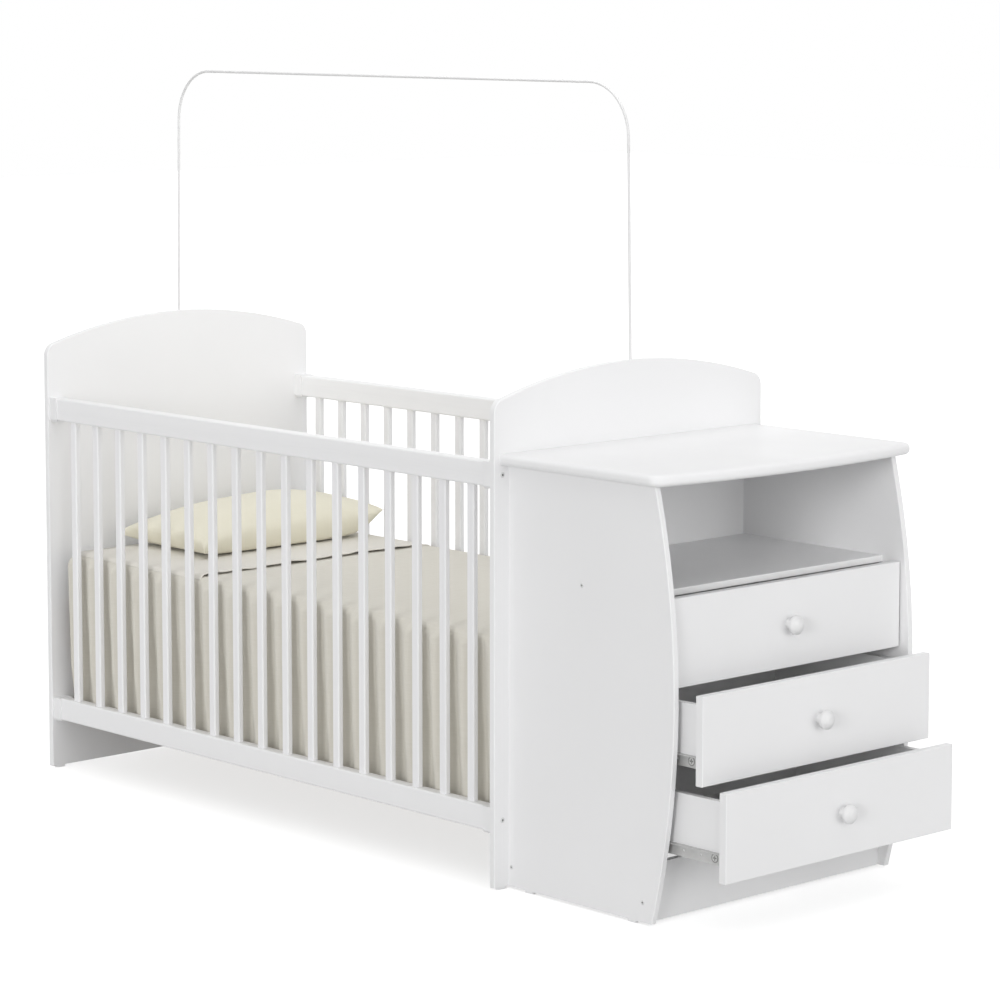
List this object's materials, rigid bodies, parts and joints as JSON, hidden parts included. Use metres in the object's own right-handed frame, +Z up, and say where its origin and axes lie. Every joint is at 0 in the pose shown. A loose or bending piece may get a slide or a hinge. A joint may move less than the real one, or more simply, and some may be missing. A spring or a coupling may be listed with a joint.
{
  "type": "crib with dresser",
  "caption": "white baby crib with slatted sides, a built-in dresser with changing top, niche and drawers on roller runners, a wire net arch and draped bedding",
  "frame": {"origin": "middle of the bounding box's footprint at floor height, with the drawers drawn out as pictured", "axes": "+X from the headboard to the drawers, the way they open; +Y from the near slatted side to the far one; +Z up"},
  "size_m": [1.889, 0.676, 1.417],
  "materials": {
    "white_board": "satin",
    "white_rail": "satin",
    "white_plastic": "satin",
    "white_knob": "gloss",
    "white_rod": "satin",
    "runner_steel": "satin",
    "roller_nylon": "satin",
    "bright_steel": "satin",
    "raw_pine": "matte",
    "hardboard": "matte",
    "mattress_ticking": "matte",
    "spread_cloth": "matte",
    "sheet_cloth": "matte",
    "pillow_cloth": "matte"
  },
  "bodies": {
    "frame": {"headboard": "white_board", "footboard": "white_board", "front_top_rail": "white_rail", "front_bottom_rail": "white_rail", "back_top_rail": "white_rail", "back_bottom_rail": "white_rail", "front_slats": "white_rail", "back_slats": "white_rail", "rail_sockets": "white_plastic", "rail_bolts": "bright_steel", "base_ledgers": "raw_pine", "base_stringers": "raw_pine", "base_laths": "raw_pine", "mattress": "mattress_ticking", "bedspread": "spread_cloth", "folded_sheet": "sheet_cloth", "pillow": "pillow_cloth", "net_arch": "white_rod", "dresser_side_left": "white_board", "dresser_side_right": "white_board", "changing_top": "white_board", "niche_shelf": "white_board", "kick_plate": "white_board", "rear_stretcher": "white_board", "corner_brackets": "white_plastic", "top_dowels": "raw_pine", "side_screws": "bright_steel", "floor_glides": "white_plastic", "cabinet_runners_1": "runner_steel", "cabinet_runners_2": "runner_steel", "cabinet_runners_3": "runner_steel"},
    "drawer_1": {"drawer_1_front": "white_board", "drawer_1_left_side": "white_board", "drawer_1_right_side": "white_board", "drawer_1_back": "white_board", "drawer_1_bottom": "hardboard", "drawer_1_knob": "white_knob", "drawer_1_runners": "runner_steel"},
    "cabinet_rollers_1": {"cabinet_rollers_1": "roller_nylon"},
    "drawer_1_rollers": {"drawer_1_rollers": "roller_nylon"},
    "drawer_2": {"drawer_2_front": "white_board", "drawer_2_left_side": "white_board", "drawer_2_right_side": "white_board", "drawer_2_back": "white_board", "drawer_2_bottom": "hardboard", "drawer_2_knob": "white_knob", "drawer_2_runners": "runner_steel"},
    "cabinet_rollers_2": {"cabinet_rollers_2": "roller_nylon"},
    "drawer_2_rollers": {"drawer_2_rollers": "roller_nylon"},
    "drawer_3": {"drawer_3_front": "white_board", "drawer_3_left_side": "white_board", "drawer_3_right_side": "white_board", "drawer_3_back": "white_board", "drawer_3_bottom": "hardboard", "drawer_3_knob": "white_knob", "drawer_3_runners": "runner_steel"},
    "cabinet_rollers_3": {"cabinet_rollers_3": "roller_nylon"},
    "drawer_3_rollers": {"drawer_3_rollers": "roller_nylon"}
  },
  "joints": [
    {"name": "drawer_1_slide", "type": "slide", "parent": "frame", "child": "drawer_1", "axis": [1, 0, 0], "range_m": [0, 0.25]},
    {"name": "cabinet_rollers_1_spin", "type": "hinge", "parent": "frame", "child": "cabinet_rollers_1", "pos_m": [0.758, 0, 0.4509], "axis": [0, 1, 0], "range_deg": [-1, 1791.49]},
    {"name": "drawer_1_rollers_spin", "type": "hinge", "parent": "drawer_1", "child": "drawer_1_rollers", "pos_m": [0.434, 0, 0.4492], "axis": [0, 1, 0], "range_deg": [-1, 1791.49]},
    {"name": "drawer_2_slide", "type": "slide", "parent": "frame", "child": "drawer_2", "axis": [1, 0, 0], "range_m": [-0.0725, 0.1775]},
    {"name": "cabinet_rollers_2_spin", "type": "hinge", "parent": "frame", "child": "cabinet_rollers_2", "pos_m": [0.758, 0, 0.2955], "axis": [0, 1, 0], "range_deg": [-520.24, 1272.25]},
    {"name": "drawer_2_rollers_spin", "type": "hinge", "parent": "drawer_2", "child": "drawer_2_rollers", "pos_m": [0.5065, 0, 0.2938], "axis": [0, 1, 0], "range_deg": [-520.24, 1272.25]},
    {"name": "drawer_3_slide", "type": "slide", "parent": "frame", "child": "drawer_3", "axis": [1, 0, 0], "range_m": [-0.128, 0.122]},
    {"name": "cabinet_rollers_3_spin", "type": "hinge", "parent": "frame", "child": "cabinet_rollers_3", "pos_m": [0.758, 0, 0.1401], "axis": [0, 1, 0], "range_deg": [-917.73, 874.76]},
    {"name": "drawer_3_rollers_spin", "type": "hinge", "parent": "drawer_3", "child": "drawer_3_rollers", "pos_m": [0.562, 0, 0.1384], "axis": [0, 1, 0], "range_deg": [-917.73, 874.76]}
  ],
  "couplings": [
    {"joint": "cabinet_rollers_1_spin", "follows": "drawer_1_slide", "rad_per_m": 125},
    {"joint": "drawer_1_rollers_spin", "follows": "drawer_1_slide", "rad_per_m": 125},
    {"joint": "cabinet_rollers_2_spin", "follows": "drawer_2_slide", "rad_per_m": 125},
    {"joint": "drawer_2_rollers_spin", "follows": "drawer_2_slide", "rad_per_m": 125},
    {"joint": "cabinet_rollers_3_spin", "follows": "drawer_3_slide", "rad_per_m": 125},
    {"joint": "drawer_3_rollers_spin", "follows": "drawer_3_slide", "rad_per_m": 125}
  ]
}
